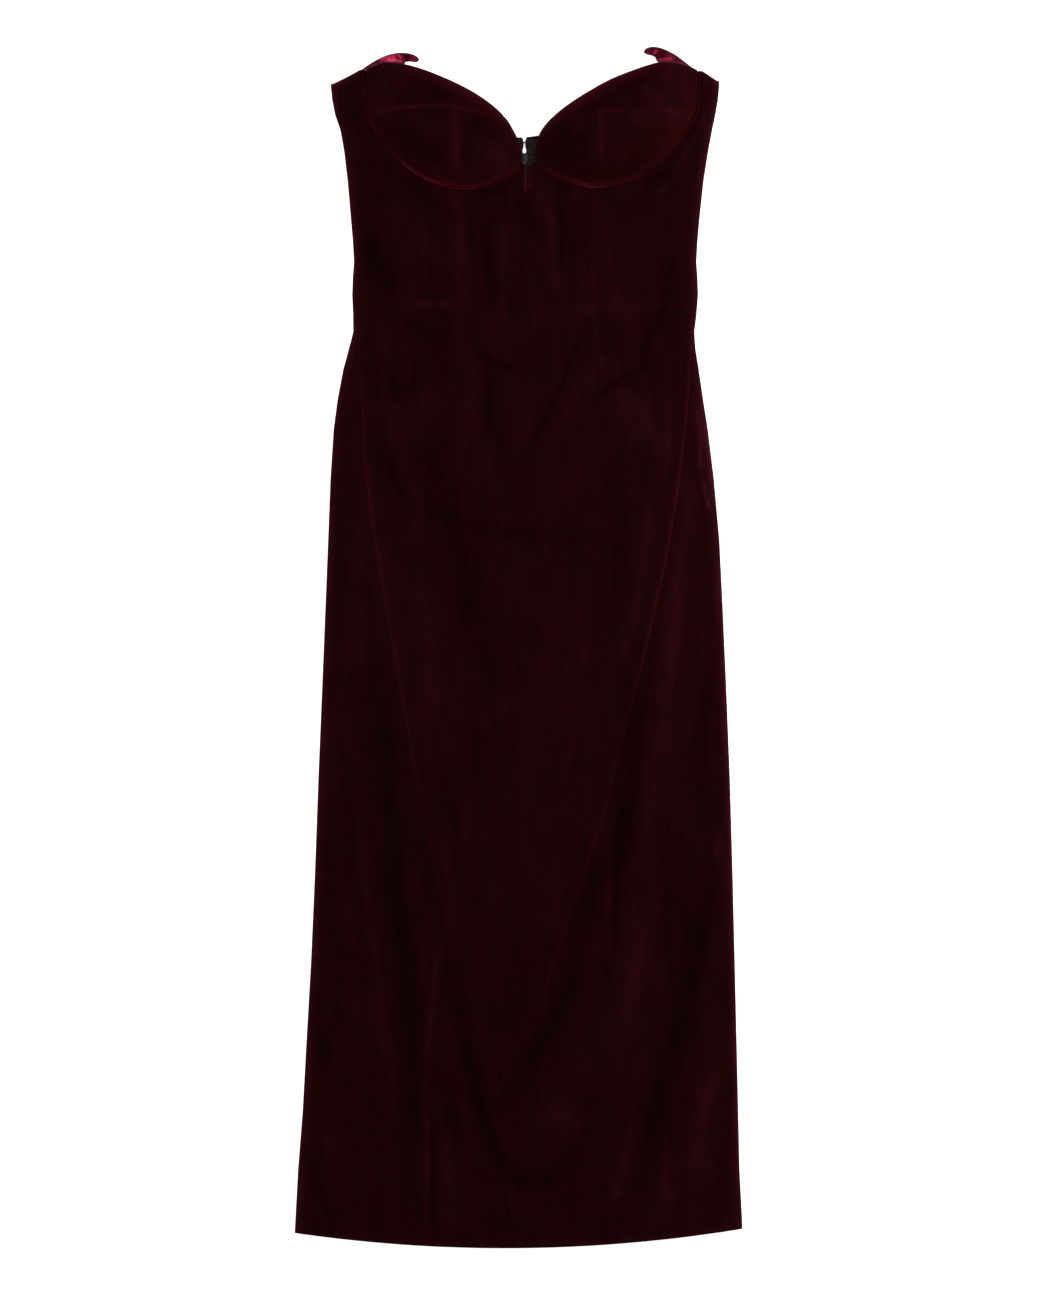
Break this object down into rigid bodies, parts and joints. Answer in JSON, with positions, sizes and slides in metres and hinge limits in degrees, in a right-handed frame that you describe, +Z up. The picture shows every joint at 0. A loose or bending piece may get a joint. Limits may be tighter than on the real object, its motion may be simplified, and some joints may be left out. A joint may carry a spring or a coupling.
{
  "type": "strapless bustier dress",
  "caption": "Long strapless velvet bustier dress with moulded cups and a V-shaped front skirt panel, laid flat face up.",
  "frame": {"origin": "middle of the laid-out dress in x and y, on the surface it lies on", "axes": "+Y from the hem toward the neckline, +X toward the right of the picture (the wearer's left), +Z up from the surface, the front facing up"},
  "size_m": [0.4672, 1.25, 0.064],
  "materials": {
    "burgundy_velvet": "matte pile with a crimson sheen at grazing angles",
    "dull_pink_edge": "velvet rolled over its edge, pale sheen",
    "charcoal_tape": "woven zip tape",
    "dark_metal": "dark nickel plate"
  },
  "bodies": {
    "dress": {"front_panel": "burgundy_velvet", "side_front_left": "burgundy_velvet", "side_front_right": "burgundy_velvet", "skirt_left": "burgundy_velvet", "skirt_right": "burgundy_velvet", "cup_upper_left": "burgundy_velvet", "cup_inner_left": "burgundy_velvet", "cup_outer_left": "burgundy_velvet", "wire_casing_left": "burgundy_velvet", "cup_upper_right": "burgundy_velvet", "cup_inner_right": "burgundy_velvet", "cup_outer_right": "burgundy_velvet", "wire_casing_right": "burgundy_velvet", "cup_tip_left": "dull_pink_edge", "cup_tip_right": "dull_pink_edge", "back_left": "burgundy_velvet", "zip_tape_left": "charcoal_tape", "back_right": "burgundy_velvet", "zip_tape_right": "charcoal_tape", "zip_chain": "charcoal_tape", "zip_slider": "dark_metal", "hook": "dark_metal", "eye": "dark_metal"},
    "zip_pull": {"zip_pull": "dark_metal"}
  },
  "joints": [
    {"name": "zip_pull_hinge", "type": "hinge", "parent": "dress", "child": "zip_pull", "pos_m": [0.0062, 0.51, 0.00155], "axis": [1, 0, 0], "range_deg": [0, 175]}
  ]
}
